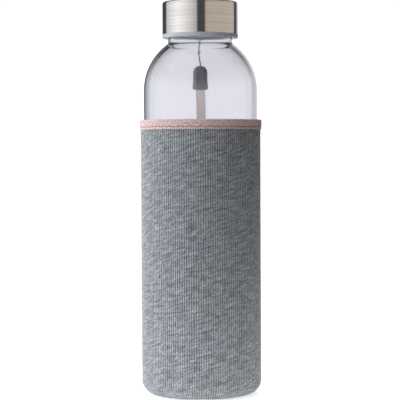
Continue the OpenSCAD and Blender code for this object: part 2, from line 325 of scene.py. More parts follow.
# Fibres show as flecks about 0.4 mm long, which is 2600 to the metre.
fibres = add_node(tree, "ShaderNodeTexNoise", {"Scale": 2600.0, "Detail": 3.0})
tones = add_node(tree, "ShaderNodeValToRGB", {"Fac": fibres.outputs["Fac"]},
                 stops=[(0.3, "#8E7B76"), (0.7, "#C5B4AE")])
tree.links.new(tones.outputs["Color"], shader.inputs["Base Color"])

# The section is 8 % fuller than the cord, because its lobes are cut in from the outside.
cord_grid, _ = swept(cord_line, twisted_strands(CORD_D * 1.08, 3, 2.6), (0, 0, 1))
neck_tie = make_piece("neck_tie_cord", close_ends(cord_grid), wrap_rows=False)
wear(neck_tie, None, "waxed_cord", waxed_cord, "neck_cord", "drop_cord")
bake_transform(neck_tie)


# %% Knot
KNOT_R, KNOT_CORD_D = 1.2, 0.85


def knot_turns(centre, radius, thickness, turns=2, steps=90):
    """A line that winds over a small ball, as the cord does in a pulled-up knot."""
    t = np.linspace(0, 1, steps)
    climb = np.pi * (0.14 + 0.72 * t)
    spin = 2 * np.pi * (turns * t + 0.12 * np.sin(4 * np.pi * t))
    r = radius - thickness / 2
    return centre + r * np.stack([np.cos(climb) * 1.05, np.sin(climb) * np.cos(spin),
                                  np.sin(climb) * np.sin(spin)], 1)


knot_line = knot_turns(KNOT, KNOT_R, 0.75)
knot_grid, _ = swept(knot_line, twisted_strands(KNOT_CORD_D, 3, 2.2), (1, 0, 0.2))
knot = make_piece("neck_tie_knot", close_ends(knot_grid), wrap_rows=False)
wear(knot, "strap_ring", "waxed_cord", waxed_cord)

# %% [markdown]
# ## The wrist strap
# The strap is a soft flat braid, 5.7 mm wide, that leaves the connector, hangs down behind the
# sleeve, turns at the bottom in a round bight and comes back up. Strands cross each other on the
# diagonal, one over and one under, and that relief is pushed into the mesh itself.

# %% Strap
WEBBING_W, WEBBING_T = 5.7, 1.1
# One crossing of the braid is about 0.5 mm on a real strap. It is drawn at 0.9 mm so that it shows.
BRAID_STEP = 0.9
BRAID_RELIEF, FLAT_POINTS = 0.14, 15
webbing_route = [
    (0, 35.45, 173.2), (0.2, 35.9, 166), (0.3, 36, 156), (0, 35.9, 145), (-0.2, 35.8, 130),
    (0, 35.8, 112), (0.2, 35.8, 94), (0, 35.8, 76), (0, 35.8, 60), (0, 35.9, 46),
    (0, 36.8, 41.6), (0, 39.3, 37.9), (0, 43, 35.4), (0, 47.4, 34.5), (0, 51.8, 35.4),
    (0, 55.5, 37.9), (0, 58, 41.6), (0, 58.9, 46), (0, 58.9, 54), (0, 58, 66),
    (0, 55.6, 82), (-0.2, 52, 100), (0, 48, 118), (0.2, 44.3, 134), (0.3, 41.3, 148),
    (0.2, 39, 160), (0, 37.5, 168), (0, 36.85, 172.8)]


def braid_height(across, along):
    """How high the upper strand stands, from 0 to 1, in a braid of crossing strands."""
    a, b = (along + across) / BRAID_STEP, (along - across) / BRAID_STEP
    over = (np.floor(a) + np.floor(b)) % 2
    near = np.where(over > 0, a % 1, b % 1) - 0.5
    run_on = np.where(over > 0, b % 1, a % 1) - 0.5
    return np.cos(np.pi * near) ** 0.5 * (0.55 + 0.45 * np.cos(np.pi * run_on))


def braid_section(along):
    """Flat section with round edges. Both faces carry the braid."""
    w, t = WEBBING_W / 2, WEBBING_T / 2
    edge = t * 0.8
    flat = t * 0.94
    back_and_forth = np.linspace(w - edge, edge - w, FLAT_POINTS)
    x = np.concatenate([back_and_forth, -back_and_forth])
    y = np.repeat([flat, -flat], FLAT_POINTS)
    y += np.sign(y) * (BRAID_RELIEF * braid_height(x, along) - 0.1)
    bend = np.radians([120, 150, 180, 210, 240])
    left = np.stack([edge - w + edge * np.cos(bend), flat * np.sin(bend)], 1)
    right = np.stack([w - edge - edge * np.cos(bend[::-1]), -flat * np.sin(bend)], 1)
    faces = np.stack([x, y], 1)
    return np.vstack([faces[:FLAT_POINTS], left, faces[FLAT_POINTS:], right])


webbing_line = smooth_line(webbing_route, 0.3)
webbing_grid, webbing_along = swept(webbing_line, braid_section, (1, 0, 0))
print(f"strap: {webbing_along[-1]:.0f} mm of {WEBBING_W} mm webbing")

# %% Woven webbing
webbing_finish, tree, shader = new_finish("braided_polyester", Roughness=0.75, Sheen_Weight=0.25,
                                          Sheen_Roughness=0.4)
place = add_node(tree, "ShaderNodeUVMap", uv_map="yarn")
strand_noise = add_node(tree, "ShaderNodeTexNoise", {"Vector": place.outputs["UV"], "Scale": 2.2,
                                                     "Detail": 2.0})
# The strands cross in a herringbone, 1.5 mm from one chevron to the next.
yarn_way = add_node(tree, "ShaderNodeSeparateXYZ", {"Vector": place.outputs["UV"]})
chevron = maths(tree, "ADD", maths(tree, "PINGPONG", yarn_way.outputs["X"], 1.4),
                yarn_way.outputs["Y"])
strand = maths(tree, "SINE", maths(tree, "MULTIPLY", chevron, 2 * math.pi / 1.5))
strand_tones = add_node(tree, "ShaderNodeValToRGB", {
    "Fac": maths(tree, "MULTIPLY_ADD", strand, 0.2, strand_noise.outputs["Fac"])},
    stops=[(0.28, "#9F8B88"), (0.5, "#CFBFBB"), (0.7, "#E9DDD9")])
tree.links.new(strand_tones.outputs["Color"], shader.inputs["Base Color"])
webbing_cols = webbing_grid.shape[1]
# A column is 0.35 mm wide on the strap, so the finish is laid out in millimetres both ways.
webbing_uv = np.stack(np.broadcast_arrays(np.arange(webbing_cols)[None] * 0.35,
                                          webbing_along[:, None]), -1)
strap = make_piece("wrist_strap_webbing", close_ends(webbing_grid), wrap_rows=False,
                   uv=np.vstack([webbing_uv[:1], webbing_uv, webbing_uv[-1:]]))
wear(strap, "strap", "woven_webbing", webbing_finish, "strap_webbing")

# %% [markdown]
# ## The connector
# The cord and the webbing meet in a small moulded plug with eight flats, a domed top and a
# wider skirt. Its flats are drawn as rings of eight points that shrink towards the top, and a
# bevel softens each edge as a mould does.


# %% Connector
SKIRT_H, DOME_H, WAIST_SHARE, FLAT_CUT = 3.1, 4.2, 0.93, 1.9


def flats(width, deep, cut):
    """Eight corners of a rectangle whose own corners are cut off."""
    w, d = width / 2, deep / 2
    return [(w, d - cut), (w - cut, d), (cut - w, d), (-w, d - cut),
            (-w, cut - d), (cut - w, -d), (w - cut, -d), (w, cut - d)]


def connector_grid():
    """Rings of eight points: the skirt, the waist above it, and the dome."""
    foot, dome_z = -CONNECTOR_H / 2, CONNECTOR_H / 2 - DOME_H
    levels = [(foot, 1.0), (foot + SKIRT_H, 1.0), (foot + SKIRT_H + 0.4, WAIST_SHARE),
              (dome_z, WAIST_SHARE)]
    levels += [(dome_z + DOME_H * math.sin(a), WAIST_SHARE * math.cos(a))
               for a in np.radians((18, 36, 52, 66, 76))]
    rings = []
    for z, share in levels:
        corners = flats(CONNECTOR_W * share, CONNECTOR_DEEP * share, FLAT_CUT * share)
        rings.append([(x, y, z) for x, y in corners])
    return close_ends(np.array(rings))


tilt = Matrix.Translation(Vector(CONNECTOR_AT) * MM) @ Matrix.Rotation(
    math.radians(CONNECTOR_TILT), 4, "X")
connector = make_piece("strap_plug", connector_grid(), wrap_rows=False)
connector.data.transform(tilt)
softened = connector.modifiers.new("moulded_edges", "BEVEL")
softened.width, softened.segments, softened.limit_method = 0.28 * MM, 3, "ANGLE"
softened.angle_limit = math.radians(12)
softened.harden_normals = True

# %% Soft PVC
# Moulded soft PVC is half matt, with a grain of about 0.6 mm, which is 1800 to the metre.
moulded_pvc, tree, shader = new_finish("moulded_soft_pvc", Roughness=0.42, IOR=1.53)
grain = add_node(tree, "ShaderNodeTexNoise", {"Scale": 1800.0, "Detail": 2.0})
grey = add_node(tree, "ShaderNodeValToRGB", {"Fac": grain.outputs["Fac"]},
                stops=[(0.3, "#615A60"), (0.7, "#6C656B")])
tree.links.new(grey.outputs["Color"], shader.inputs["Base Color"])
pores = add_node(tree, "ShaderNodeBump", {"Height": grain.outputs["Fac"], "Distance": 0.00004,
                                          "Strength": 0.6})
tree.links.new(pores.outputs["Normal"], shader.inputs["Normal"])
wear(connector, "strap", "moulded_pvc", moulded_pvc, "strap_connector")

# %% [markdown]
# ## The glass
# The bottle is blown soda-lime glass with a wall of 2 mm. Real glass bends light at the outer
# and the inner face, so both are drawn, in one closed outline that runs from the hollow under the
# base up the outside, over the lip and back down the inside. The screw thread is pressed out
# of the neck's own points, because a second mesh stuck on would show a seam inside the glass.


# %% Screw thread
def thread_relief(angle, z, start_z):
    """How far the thread stands out at points round a neck, from 0 to 1. It winds up to the left."""
    relief = np.zeros(np.broadcast(angle, z).shape)
    for lap in range(3):
        turn = angle / (2 * np.pi) + lap
        inside = np.clip(np.minimum(turn, THREAD_TURNS - turn) / 0.12, 0, 1)
        off = np.abs(z - start_z - turn * THREAD_PITCH)
        flank = np.clip((THREAD_BASE / 2 - off) / ((THREAD_BASE - THREAD_CREST) / 2), 0, 1)
        relief = np.maximum(relief, flank**2 * (3 - 2 * flank) * inside)
    return relief


def throat(r, ball, corner):
    """Centre height of the hollow corner between a neck and a ball, and the angle it starts at."""
    rise = math.sqrt((ball + corner) ** 2 - (r + corner) ** 2)
    return BALL_Z + rise, math.degrees(math.atan2(rise, r + corner))


# %% Bottle
def glass_outline():
    """Half section of the glass, from the middle of its underside to the middle of its floor."""
    inner = BODY_R - GLASS_WALL
    big = (PUNT_R**2 + PUNT_DEPTH**2) / (2 * PUNT_DEPTH)
    punt_edge = math.degrees(math.asin(PUNT_R / big))
    out_z, out_angle = throat(NECK_R, BODY_R, THROAT_R)
    in_z, in_angle = throat(BORE_R, inner, THROAT_IN_R)
    floor_z = GLASS_Z + GLASS_FLOOR
    thread_reach = 1.5
    fine_low = THREAD_Z - thread_reach
    fine_high = THREAD_Z + THREAD_TURNS * THREAD_PITCH + thread_reach
    return (
        arc(0, GLASS_Z + PUNT_DEPTH - big, big, 90, 90 - punt_edge, 10)
        + arc(BODY_R - HEEL_R, GLASS_Z + HEEL_R, HEEL_R, -90, 0, 14)
        + run((BODY_R, GLASS_Z + HEEL_R), (BODY_R, BALL_Z), 24)[1:]
        + arc(0, BALL_Z, BODY_R, 0, out_angle, 44)
        + arc(NECK_R + THROAT_R, out_z, THROAT_R, 180 + out_angle, 180, 12)[1:]
        + run((NECK_R, out_z), (NECK_R, fine_low), 8)[1:]
        + run((NECK_R, fine_low), (NECK_R, fine_high), 56)
        + run((NECK_R, fine_high), (NECK_R, RIM_Z - LIP_R), 4)
        + arc(NECK_R - LIP_R, RIM_Z - LIP_R, LIP_R, 0, 90, 8)
        + arc(BORE_R + LIP_R, RIM_Z - LIP_R, LIP_R, 90, 180, 8)[1:]
        + run((BORE_R, RIM_Z - LIP_R), (BORE_R, in_z), 16)[1:]
        + arc(BORE_R + THROAT_IN_R, in_z, THROAT_IN_R, 180, 180 + in_angle, 16)
        + arc(0, BALL_Z, inner, in_angle, 0, 44)[1:]
        + run((inner, BALL_Z), (inner, floor_z + HEEL_R), 24)[1:]
        + arc(inner - HEEL_R, floor_z + HEEL_R, HEEL_R, 0, -90, 14)
        + [(12, floor_z), (0, floor_z)])


POINTS_ROUND = 192
bottle_grid = turned(glass_outline(), POINTS_ROUND)
bottle_angle = np.linspace(0, 2 * np.pi, POINTS_ROUND, endpoint=False)
radius = np.hypot(bottle_grid[..., 0], bottle_grid[..., 1])
on_neck = np.abs(radius - NECK_R) < 0.01
relief = thread_relief(bottle_angle[None], bottle_grid[..., 2], THREAD_Z) * on_neck
bottle_grid[..., :2] *= (1 + THREAD_DEPTH * relief / np.maximum(radius, 1))[..., None]
bottle = make_piece("bottle_glass", bottle_grid, wrap_rows=False)

# %% [markdown]
# Soda-lime glass has an IOR of 1.52. A little absorption in its volume turns the thick places,
# the neck and the floor, slightly green, while the thin wall stays clear.

# %% Soda-lime glass
soda_lime, tree, shader = new_finish("blown_soda_lime_glass", Roughness=0.0, IOR=1.52,
                                     Transmission_Weight=1.0)
shader.inputs["Base Color"].default_value = colour("#F1F2F5")
depth = add_node(tree, "ShaderNodeVolumeAbsorption", {"Color": colour("#C9D2BE"), "Density": 45.0})
tree.links.new(depth.outputs["Volume"], tree.nodes["Material Output"].inputs["Volume"])
wear(bottle, "bottle", "soda_lime_glass", soda_lime, "glass_bottle")

# %% [markdown]
# ## The cap
# A cup of thin stainless sheet is pressed over a polypropylene insert that has the thread and a
# rim that shows at the bottom. A flat silicone ring in the roof seals on the lip. All three are
# turned shapes with the small radii that pressing and moulding leave.

# %% Cap shell, insert and seal
SHELL_T, SHELL_EDGE_R, SHELL_LIP_R, INSERT_ROOF = 0.4, 1.2, 0.15, 1.2
THREAD_GAP, SEAL_W = 0.35, 5.2
INSERT_IN_R = NECK_R + THREAD_DEPTH + THREAD_GAP
shell_r, shell_top, shell_foot = shell_high[0], shell_high[2], shell_low[2]
insert_r, flange_r = shell_r - SHELL_T, liner_high[0]
roof_z = shell_top - SHELL_T - INSERT_ROOF
ridge_r = SHELL_EDGE_R - SHELL_T

shell_outline = (
    [(0, shell_top)] + run((6, shell_top), (shell_r - SHELL_EDGE_R, shell_top), 4)
    + arc(shell_r - SHELL_EDGE_R, shell_top - SHELL_EDGE_R, SHELL_EDGE_R, 90, 0, 10)
    + run((shell_r, shell_top - SHELL_EDGE_R), (shell_r, shell_foot + SHELL_LIP_R), 8)[1:]
    + arc(shell_r - SHELL_LIP_R, shell_foot + SHELL_LIP_R, SHELL_LIP_R, 0, -90, 4)
    + [(insert_r, shell_foot)]
    + arc(shell_r - SHELL_EDGE_R, shell_top - SHELL_EDGE_R, ridge_r, 0, 90, 8)
    + [(6, shell_top - SHELL_T), (0, shell_top - SHELL_T)])
cap_steel = make_piece("cap_steel_shell", turned(shell_outline, POINTS_ROUND), wrap_rows=False)

insert_outline = (
    [(0, shell_top - SHELL_T), (6, shell_top - SHELL_T)]
    + arc(shell_r - SHELL_EDGE_R, shell_top - SHELL_EDGE_R, ridge_r, 90, 0, 8)
    + [(insert_r, shell_foot)]
    + arc(flange_r - 0.25, shell_foot - 0.25, 0.25, 90, 0, 4)
    + arc(flange_r - 0.3, liner_low[2] + 0.3, 0.3, 0, -90, 4)
    + [(INSERT_IN_R + 0.3, liner_low[2]), (INSERT_IN_R, liner_low[2] + 0.3)]
    + run((INSERT_IN_R, liner_low[2] + 1), (INSERT_IN_R, roof_z), 80)
    + [(INSERT_IN_R, roof_z), (6, roof_z), (0, roof_z)])
insert_grid = turned(insert_outline, POINTS_ROUND)
radius = np.hypot(insert_grid[..., 0], insert_grid[..., 1])
relief = thread_relief(bottle_angle[None], insert_grid[..., 2],
                       THREAD_Z - THREAD_PITCH / 2 + THREAD_BITE)
relief *= np.abs(radius - INSERT_IN_R) < 0.01
insert_grid[..., :2] *= (1 - THREAD_DEPTH * relief / np.maximum(radius, 1))[..., None]
cap_liner = make_piece("cap_plastic_insert", insert_grid, wrap_rows=False)

seal_low, seal_high = box_mm("cap_seal")
seal_in_r = seal_high[0] - SEAL_W
seal_corner = 0.3
seal_outline = [
    p for r, z, start in (
        (seal_high[0] - seal_corner, seal_low[2] + seal_corner, -90),
        (seal_high[0] - seal_corner, seal_high[2] - seal_corner, 0),
        (seal_in_r + seal_corner, seal_high[2] - seal_corner, 90),
        (seal_in_r + seal_corner, seal_low[2] + seal_corner, 180))
    for p in arc(r, z, seal_corner, start, start + 90, 4)]
seal = make_piece("cap_silicone_seal", turned(seal_outline, 128))

# %% [markdown]
# The steel is brushed round and round, so its scratches are rings. Ring scratches spread a
# highlight up and down but keep it narrow sideways, which is what the shader's anisotropy does.

# %% Brushed stainless steel
brushed_steel, tree, shader = new_finish("brushed_stainless_steel", Metallic=1.0, Roughness=0.2,
                                         Anisotropic=1.0, Anisotropic_Rotation=0.25)
# Brush lines are about 0.05 mm apart. They are drawn 0.28 mm apart so that they show.
spot = add_node(tree, "ShaderNodeTexCoord")
long_way = add_node(tree, "ShaderNodeMapping", {"Vector": spot.outputs["Object"],
                                                "Scale": (22.0, 22.0, 3600.0)})
brushing = add_node(tree, "ShaderNodeTexNoise", {"Vector": long_way.outputs["Vector"],
                                                 "Scale": 1.0, "Detail": 4.0, "Roughness": 0.65})
steel_tones = add_node(tree, "ShaderNodeValToRGB", {"Fac": brushing.outputs["Fac"]},
                       stops=[(0.3, "#BBB8B6"), (0.7, "#DCDAD8")])
tree.links.new(steel_tones.outputs["Color"], shader.inputs["Base Color"])
scratches = add_node(tree, "ShaderNodeBump", {"Height": brushing.outputs["Fac"],
                                              "Distance": 0.00001, "Strength": 0.3})
tree.links.new(scratches.outputs["Normal"], shader.inputs["Normal"])
way_round = add_node(tree, "ShaderNodeTangent", direction_type="RADIAL", axis="Z")
tree.links.new(way_round.outputs["Tangent"], shader.inputs["Tangent"])
wear(cap_steel, "cap", "brushed_stainless", brushed_steel, "cap_shell")

# %% Polypropylene and silicone
polypropylene, tree, shader = new_finish("moulded_polypropylene", Roughness=0.35, IOR=1.49,
                                         Subsurface_Weight=0.15, Subsurface_Scale=0.002)
# The melt leaves faint flow marks about 4 mm wide, which is 260 to the metre.
flow = add_node(tree, "ShaderNodeTexNoise", {"Scale": 260.0, "Detail": 2.0})
flow_tones = add_node(tree, "ShaderNodeValToRGB", {"Fac": flow.outputs["Fac"]},
                      stops=[(0.3, "#A9B2BA"), (0.7, "#B6BFC7")])
tree.links.new(flow_tones.outputs["Color"], shader.inputs["Base Color"])
wear(cap_liner, "cap", "polypropylene", polypropylene, "cap_insert")

silicone, tree, shader = new_finish("translucent_silicone", Roughness=0.45, IOR=1.41,
                                    Subsurface_Weight=0.4, Subsurface_Scale=0.003)
shader.inputs["Base Color"].default_value = colour("#DCDCD6")
# Silicone holds dust in specks of about 0.7 mm, which is 1500 to the metre.
dust = add_node(tree, "ShaderNodeTexNoise", {"Scale": 1500.0})
dull = add_node(tree, "ShaderNodeBump", {"Height": dust.outputs["Fac"], "Distance": 0.00003})
tree.links.new(dull.outputs["Normal"], shader.inputs["Normal"])
wear(seal, "seal", "silicone", silicone, "cap_seal")

# %% [markdown]
# ## The knitted sleeve
# The sleeve is three layers: a melange knit on the outside, 1 mm of foam, and a thin lining. The
# knit shows upright ribs, one for each wale of stitches, so its mesh has six columns of points for
# each wale and the ribs are real. A flat seam runs down the back, where the ribs stop.

# %% Knit face
# A wale is 1.32 mm wide, because 160 of them go round the sleeve.
WALES, COLS_A_WALE, WALE_W = 160, 6, 1.32
RIB_DEPTH, COURSE_H, WAVE_DEPTH = 0.3, 1.05, 0.07
PINCH_H, PINCHED_T = 1.5, 0.5
rng = np.random.default_rng(7)


def layer_outline(out_depth, in_depth):
    """Half section of a sleeve layer between two depths under the outer face.

    Under the binding the layers are pinched together.
    """
    def face(depth, steps):
        r = SLEEVE_R - depth
        pinched = SLEEVE_R - depth * (SLEEVE_T - PINCHED_T) / SLEEVE_T
        corner = FOOT_R - depth
        wall = run((r, FOOT_R), (r, TAPE_Z - PINCH_H), steps[1])[1:]
        slope = run((r, TAPE_Z - PINCH_H), (pinched, TAPE_Z), steps[2])
        top = SLEEVE_H - TAPE_T
        return ([(BASE_SEAM_R, depth), (SLEEVE_R - FOOT_R, depth)]
                + arc(SLEEVE_R - FOOT_R, FOOT_R, corner, -90, 0, steps[0])[1:]
                + wall + slope + run((pinched, TAPE_Z), (pinched, top), 3) + [(pinched, top)])
    outside = face(out_depth, (14, 60, 4))
    return outside, face(in_depth, (6, 4, 2))[::-1]


outside, inside = layer_outline(0, FACE_T)
knit_cols = WALES * COLS_A_WALE
knit_grid = turned(outside + inside, knit_cols)
knit_angle = np.linspace(0, 2 * np.pi, knit_cols, endpoint=False)
wale = knit_angle / (2 * np.pi) * WALES

# %% Push the ribs, the seam and a slight waviness into the knit
outline = np.array(outside)
slope = np.gradient(outline, axis=0)
outward = np.stack([slope[:, 1], -slope[:, 0]], 1) / np.linalg.norm(slope, axis=1)[:, None]
height = outline[:, 1][:, None]
from_seam = np.abs((knit_angle - np.pi / 2 + np.pi) % (2 * np.pi) - np.pi) * SLEEVE_R
in_seam = np.clip((SEAM_W / 2 + 0.5 - from_seam) / 0.7, 0, 1)[None] * (height > FOOT_R / 2)
rib = np.abs(np.sin(np.pi * wale))[None] ** 0.8
waves = sum(np.sin(k * knit_angle[None] + height * f + p) for k, f, p in
            zip(rng.integers(2, 7, 5), rng.normal(0, 0.05, 5), rng.uniform(0, 6.3, 5))) / 5
ribs_fade = np.clip((outline[:, 0] - BASE_SEAM_R) / 3, 0, 1)[:, None]
push = (-RIB_DEPTH * (1 - rib) * ribs_fade * (1 - in_seam) - SEAM_DEPTH * in_seam
        - WAVE_DEPTH * (1 + waves) * (height > FOOT_R) * (height < TAPE_Z - 2))
outer_rows = len(outside)
knit_grid[:outer_rows, :, 0] += push * outward[:, :1] * np.cos(knit_angle)
knit_grid[:outer_rows, :, 1] += push * outward[:, :1] * np.sin(knit_angle)
knit_grid[:outer_rows, :, 2] += push * outward[:, 1:]
path_mm = np.concatenate([[0], np.cumsum(step_lengths(outside + inside))])
knit_uv = np.stack(np.broadcast_arrays(wale[None], (path_mm / COURSE_H)[:, None]), -1)
knit_face = make_piece("sleeve_knit_face", knit_grid, uv=knit_uv)

# %% [markdown]
# Melange yarn is spun from light and dark fibres, so its colour changes every few stitches. The
# finish counts stitches: whole numbers across are wales and up are courses, and each stitch leans
# to the middle of its wale like one leg of a V. Noise that is stretched along the
# courses, and climbs a little as a spiral-knit yarn does, makes the dark flecks.


# %% Melange knit
def knit_finish(name):
    material, tree, shader = new_finish(name, Roughness=0.9, Sheen_Weight=0.35,
                                        Sheen_Roughness=0.5)
    place = add_node(tree, "ShaderNodeUVMap", uv_map="yarn").outputs["UV"]
    parts = add_node(tree, "ShaderNodeSeparateXYZ", {"Vector": place})
    across, up = parts.outputs["X"], parts.outputs["Y"]
    leg = maths(tree, "PINGPONG", across, 0.5)
    course = maths(tree, "MULTIPLY_ADD", leg, 1.1, up)
    loop = maths(tree, "FRACT", course, 0.0)
    stitch = add_node(tree, "ShaderNodeCombineXYZ", {
        "X": maths(tree, "FLOOR", maths(tree, "MULTIPLY", across, 2.0)),
        "Y": maths(tree, "FLOOR", course)}).outputs["Vector"]
    yarn = add_node(tree, "ShaderNodeTexWhiteNoise", {"Vector": stitch},
                    noise_dimensions="2D").outputs["Value"]
    streak = add_node(tree, "ShaderNodeCombineXYZ", {
        "X": maths(tree, "MULTIPLY", across, 0.22),
        "Y": maths(tree, "MULTIPLY_ADD", across, -0.3, up)}).outputs["Vector"]
    flecks = add_node(tree, "ShaderNodeTexNoise", {
        "Vector": streak, "Scale": 0.8, "Detail": 3.0, "Roughness": 0.75})
    fuzz = add_node(tree, "ShaderNodeTexNoise", {"Vector": place, "Scale": 3.1, "Detail": 2.0})
    # Each wale is painted lighter along its crest and darker towards its edges: painted shade in the
    # valleys between the real ribs of the mesh.
    painted_rib_shade = maths(tree, "SINE", maths(tree, "MULTIPLY", maths(tree, "FRACT", across), math.pi))
    mix = maths(tree, "MULTIPLY_ADD", yarn, 0.1, maths(tree, "MULTIPLY_ADD", painted_rib_shade, 0.18, maths(
        tree, "MULTIPLY_ADD", fuzz.outputs["Fac"], 0.3,
        maths(tree, "MULTIPLY", flecks.outputs["Fac"], 0.5))))
    tones = add_node(tree, "ShaderNodeValToRGB", {"Fac": mix}, stops=[
        (0.4, "#3C3F42"), (0.5, "#696E72"), (0.62, "#92979C"), (0.74, "#BABFC4")])
    tree.links.new(tones.outputs["Color"], shader.inputs["Base Color"])
    rounded = maths(tree, "SINE", maths(tree, "MULTIPLY", loop, math.pi))
    bump = add_node(tree, "ShaderNodeBump", {
        "Height": maths(tree, "MULTIPLY_ADD", fuzz.outputs["Fac"], 0.6, rounded),
        "Distance": 0.00012, "Strength": 0.7})
    tree.links.new(bump.outputs["Normal"], shader.inputs["Normal"])
    return material


melange_knit = knit_finish("melange_jersey_knit")
wear(knit_face, "sleeve", "melange_knit", melange_knit, "sleeve_face")

# %% [markdown]
# The base is a round panel of the same knit, let in with a flatlock seam. Its stitches lie
# in a groove, so the sleeve stands flat.

# %% Base panel and lining
groove_in, groove_out, groove_up = BASE_SEAM_R - 1.3, BASE_SEAM_R, 0.4
base_outline = ([(0, 0.0)] + run((2, 0.0), (groove_in - 0.2, 0.0), 10)
                + [(groove_in - 0.2, 0.0), (groove_in, groove_up), (groove_out, groove_up),
                   (groove_out, SLEEVE_T), (12, SLEEVE_T), (0, SLEEVE_T)])
base_grid = turned(base_outline, 160)
base_panel = make_piece("sleeve_base_panel", base_grid, wrap_rows=False)
layer = base_panel.data.uv_layers.new(name="yarn")
corners = np.array([base_panel.data.vertices[i].co[:2] for i in
                    [l.vertex_index for l in base_panel.data.loops]]) / MM
layer.data.foreach_set("uv", (corners / [WALE_W, COURSE_H]).astype(np.float32).ravel())
wear(base_panel, "sleeve", "melange_knit", melange_knit, "base_panel")

FOAM_T = 1.0
lining_outline, lining_inside = layer_outline(FACE_T + FOAM_T, SLEEVE_T)
lining = make_piece("sleeve_lining_cloth", turned(lining_outline + lining_inside, 160))
# %% Tricot and foam
# Tricot is knitted in fine ribs, 0.8 mm apart. A wave turns over 20 * Scale / 2 pi times a metre.
lining_finish, tree, shader = new_finish("polyester_tricot", Roughness=0.7, Sheen_Weight=0.4)
spot = add_node(tree, "ShaderNodeTexCoord")
ribbing = add_node(tree, "ShaderNodeTexWave", {"Vector": spot.outputs["Object"], "Scale": 380.0,
                                               "Distortion": 0.4}, bands_direction="Z")
cloth = add_node(tree, "ShaderNodeValToRGB", {"Fac": ribbing.outputs["Fac"]},
                 stops=[(0.2, "#3A3B3F"), (0.8, "#4B4C51")])
tree.links.new(cloth.outputs["Color"], shader.inputs["Base Color"])
relief = add_node(tree, "ShaderNodeBump", {"Height": ribbing.outputs["Fac"], "Distance": 0.0001})
tree.links.new(relief.outputs["Normal"], shader.inputs["Normal"])
wear(lining, "sleeve", "polyester_lining", lining_finish, "sleeve_lining")

# The foam is hidden, so its CAD node stays and only gets a finish, with cells of 0.4 mm.
foam_finish, tree, shader = new_finish("neoprene_foam", Roughness=0.8)
cells = add_node(tree, "ShaderNodeTexVoronoi", {"Scale": 2500.0})
foam_tones = add_node(tree, "ShaderNodeValToRGB", {"Fac": cells.outputs["Distance"]},
                      stops=[(0.1, "#242427"), (0.6, "#3C3C40")])
tree.links.new(foam_tones.outputs["Color"], shader.inputs["Base Color"])
foam_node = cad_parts["sleeve_foam"]
foam_node.data.materials.clear()
foam_node.data.materials.append(foam_finish)

# %% [markdown]
# ## The binding
# A rose tape is folded over the top edge and sewn down. It is ribbed crosswise, its lower edge
# is a row of small loops like a rope, and the sewing pulls a line of dimples into it. All of this
# is pushed into a turned outline.

# %% Binding tape
STITCHES_ROUND = 86
STITCH_Z = TAPE_Z + 1.4
RIBS_A_STITCH, COLS_A_RIB = 2, 6
TAPE_RELIEF, STITCH_SUNK, DIMPLE_DEPTH = 0.1, 0.2, 0.25
tape_cols = STITCHES_ROUND * RIBS_A_STITCH * COLS_A_RIB
lining_r = SLEEVE_R - SLEEVE_T
tape_outline = (
    [(SLEEVE_R, TAPE_Z + 0.35)] + arc(SLEEVE_R + 0.28, TAPE_Z + 0.3, 0.3, 190, 350, 6)
    + run((TAPE_R, TAPE_Z + 0.45), (TAPE_R, SLEEVE_H - TAPE_T), 26)
    + arc(TAPE_R - 0.75, SLEEVE_H - 0.75, 0.75, 0, 90, 7)
    + arc(lining_r + TAPE_T, SLEEVE_H - TAPE_T, TAPE_T, 90, 180, 6)
    + run((lining_r, SLEEVE_H - TAPE_T), (lining_r, TAPE_Z + 0.5), 8)[1:]
    + [(lining_r, TAPE_Z + 0.5), (lining_r + 0.5, TAPE_Z + 0.5),
       (lining_r + 0.5, SLEEVE_H - TAPE_T), (SLEEVE_R, SLEEVE_H - TAPE_T)])
tape_grid = turned(tape_outline, tape_cols)

# %% Push the ribs, the looped edge and the sewn dimples into the tape
tape_angle = np.linspace(0, 2 * np.pi, tape_cols, endpoint=False)[None]
tape_h = np.array(tape_outline)[:, 1:]
outer = (np.array(tape_outline)[:, :1] > SLEEVE_R + 0.2)
inner = (np.array(tape_outline)[:, :1] < lining_r + 0.3)
stitch_phase = tape_angle / (2 * np.pi) * STITCHES_ROUND
lean = (tape_h - TAPE_Z) * 0.16
ribs = np.cos(2 * np.pi * (RIBS_A_STITCH * stitch_phase + lean))
rope = np.cos(2 * np.pi * (RIBS_A_STITCH * stitch_phase + (tape_h - TAPE_Z) * 0.9))
at_rope = np.exp(-((tape_h - TAPE_Z - 0.35) / 0.45) ** 2)
at_stitch = np.exp(-((tape_h - STITCH_Z) / 0.42) ** 2)
dimple = 0.5 + 0.5 * np.cos(2 * np.pi * (stitch_phase - 0.5))
relief = ribs * (1 - at_rope) + rope * at_rope - 1
tape_push = outer * (TAPE_RELIEF * relief - at_stitch * (STITCH_SUNK + DIMPLE_DEPTH * dimple**2))
tape_push -= inner * 0.04 * (1 - ribs)
tape_grid[..., 0] += tape_push * np.cos(tape_angle)
tape_grid[..., 1] += tape_push * np.sin(tape_angle)
tape_along = np.concatenate([[0], np.cumsum(step_lengths(tape_outline))])
tape_uv = np.stack(np.broadcast_arrays(stitch_phase * 2.5, tape_along[:, None]), -1)
binding = make_piece("sleeve_binding_tape", tape_grid, uv=tape_uv)

